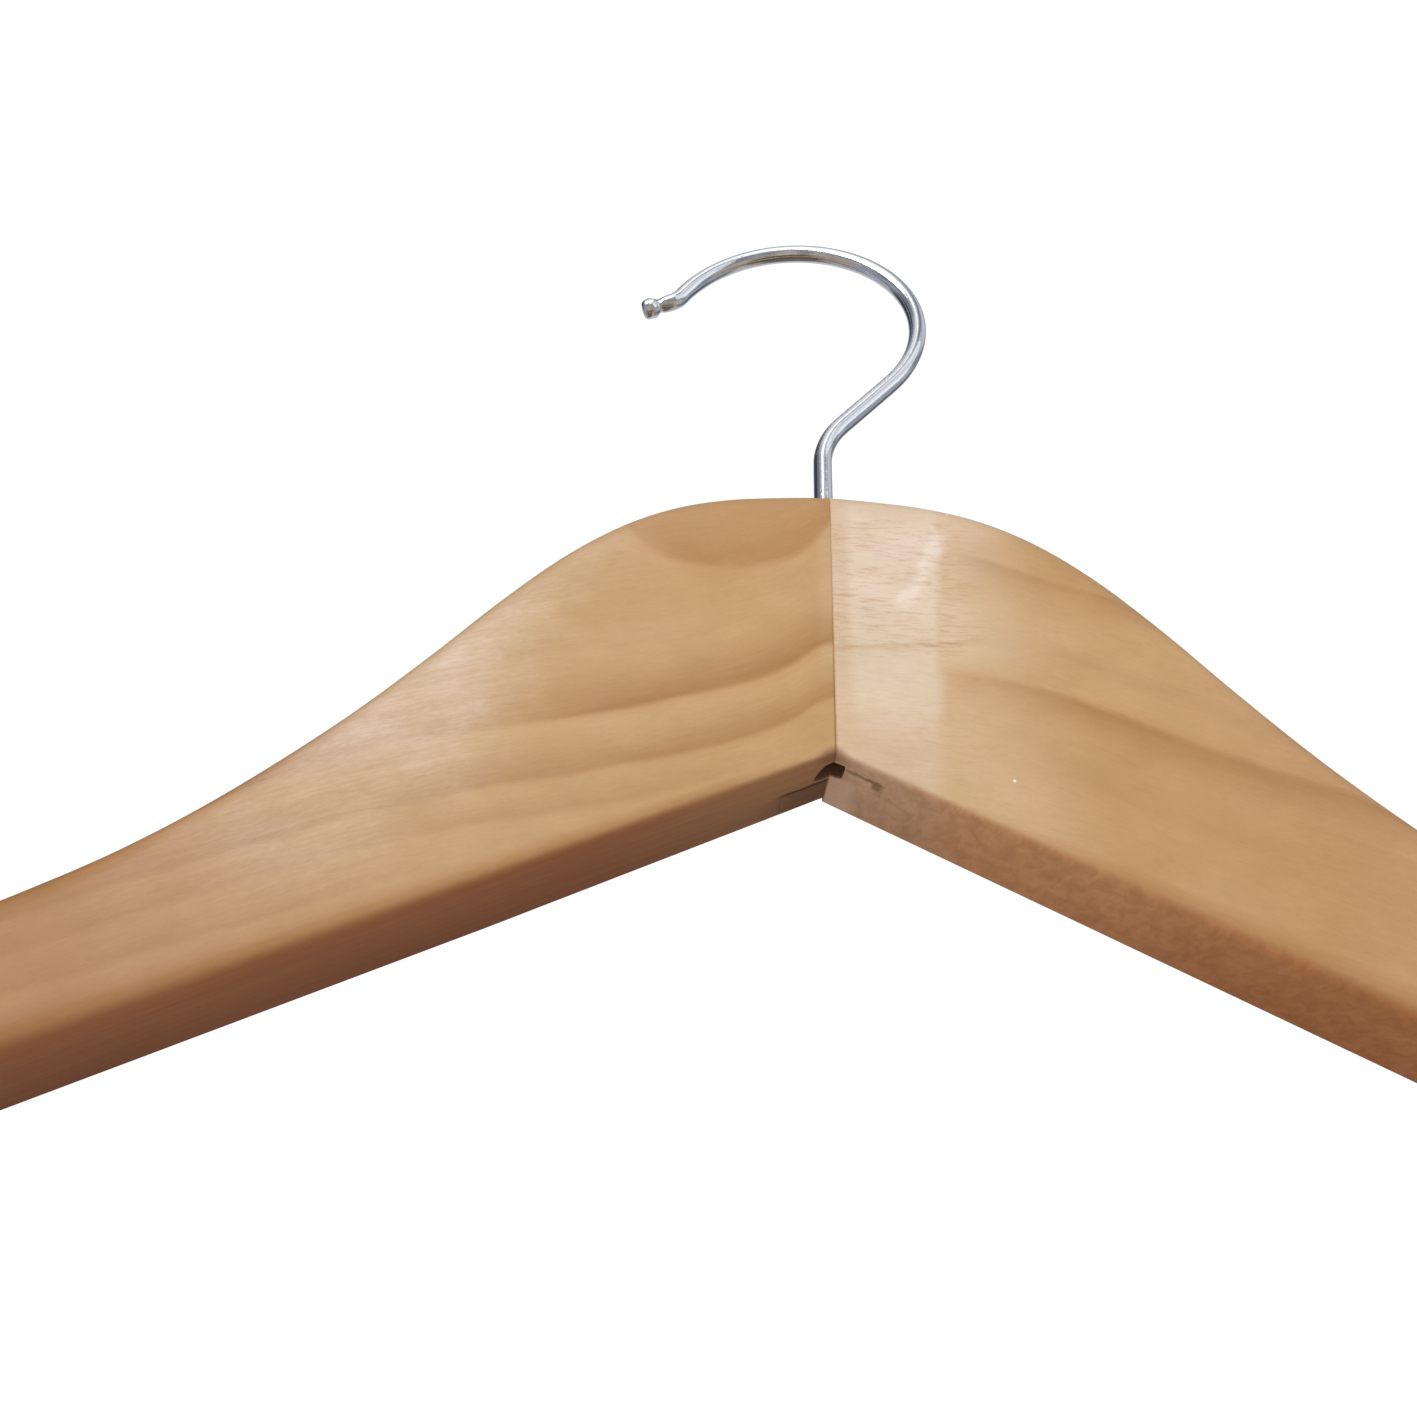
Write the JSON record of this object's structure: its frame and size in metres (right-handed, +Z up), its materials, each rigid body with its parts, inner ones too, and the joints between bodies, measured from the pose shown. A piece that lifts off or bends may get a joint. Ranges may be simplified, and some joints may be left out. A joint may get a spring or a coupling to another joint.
{
  "type": "clothes hanger",
  "caption": "Flat wooden clothes hanger made of two glued arms, with a chromed wire hook that swivels in the neck and ends in a small ball.",
  "frame": {"origin": "rod seat: the point inside the hook's arc, straight above the shank, where the rail bears", "axes": "+X along the arms to the right as seen from the front, +Y towards the back face, +Z up along the shank"},
  "size_m": [0.445, 0.023, 0.2196],
  "materials": {
    "wood_left": "satin varnish over light reddish-brown wood",
    "wood_right": "satin varnish over light golden-brown wood",
    "hook_chrome": "polished chrome plate on steel wire",
    "washer_zinc": "zinc plated"
  },
  "bodies": {
    "hook": {"hook": "hook_chrome", "hook_washer": "washer_zinc"},
    "hanger_body": {"left_arm": "wood_left", "right_arm": "wood_right"}
  },
  "joints": [
    {"name": "hook_swivel", "type": "hinge", "parent": "hook", "child": "hanger_body", "pos_m": [0, 0, -0.06886], "axis": [0, 0, 1], "continuous": true}
  ]
}
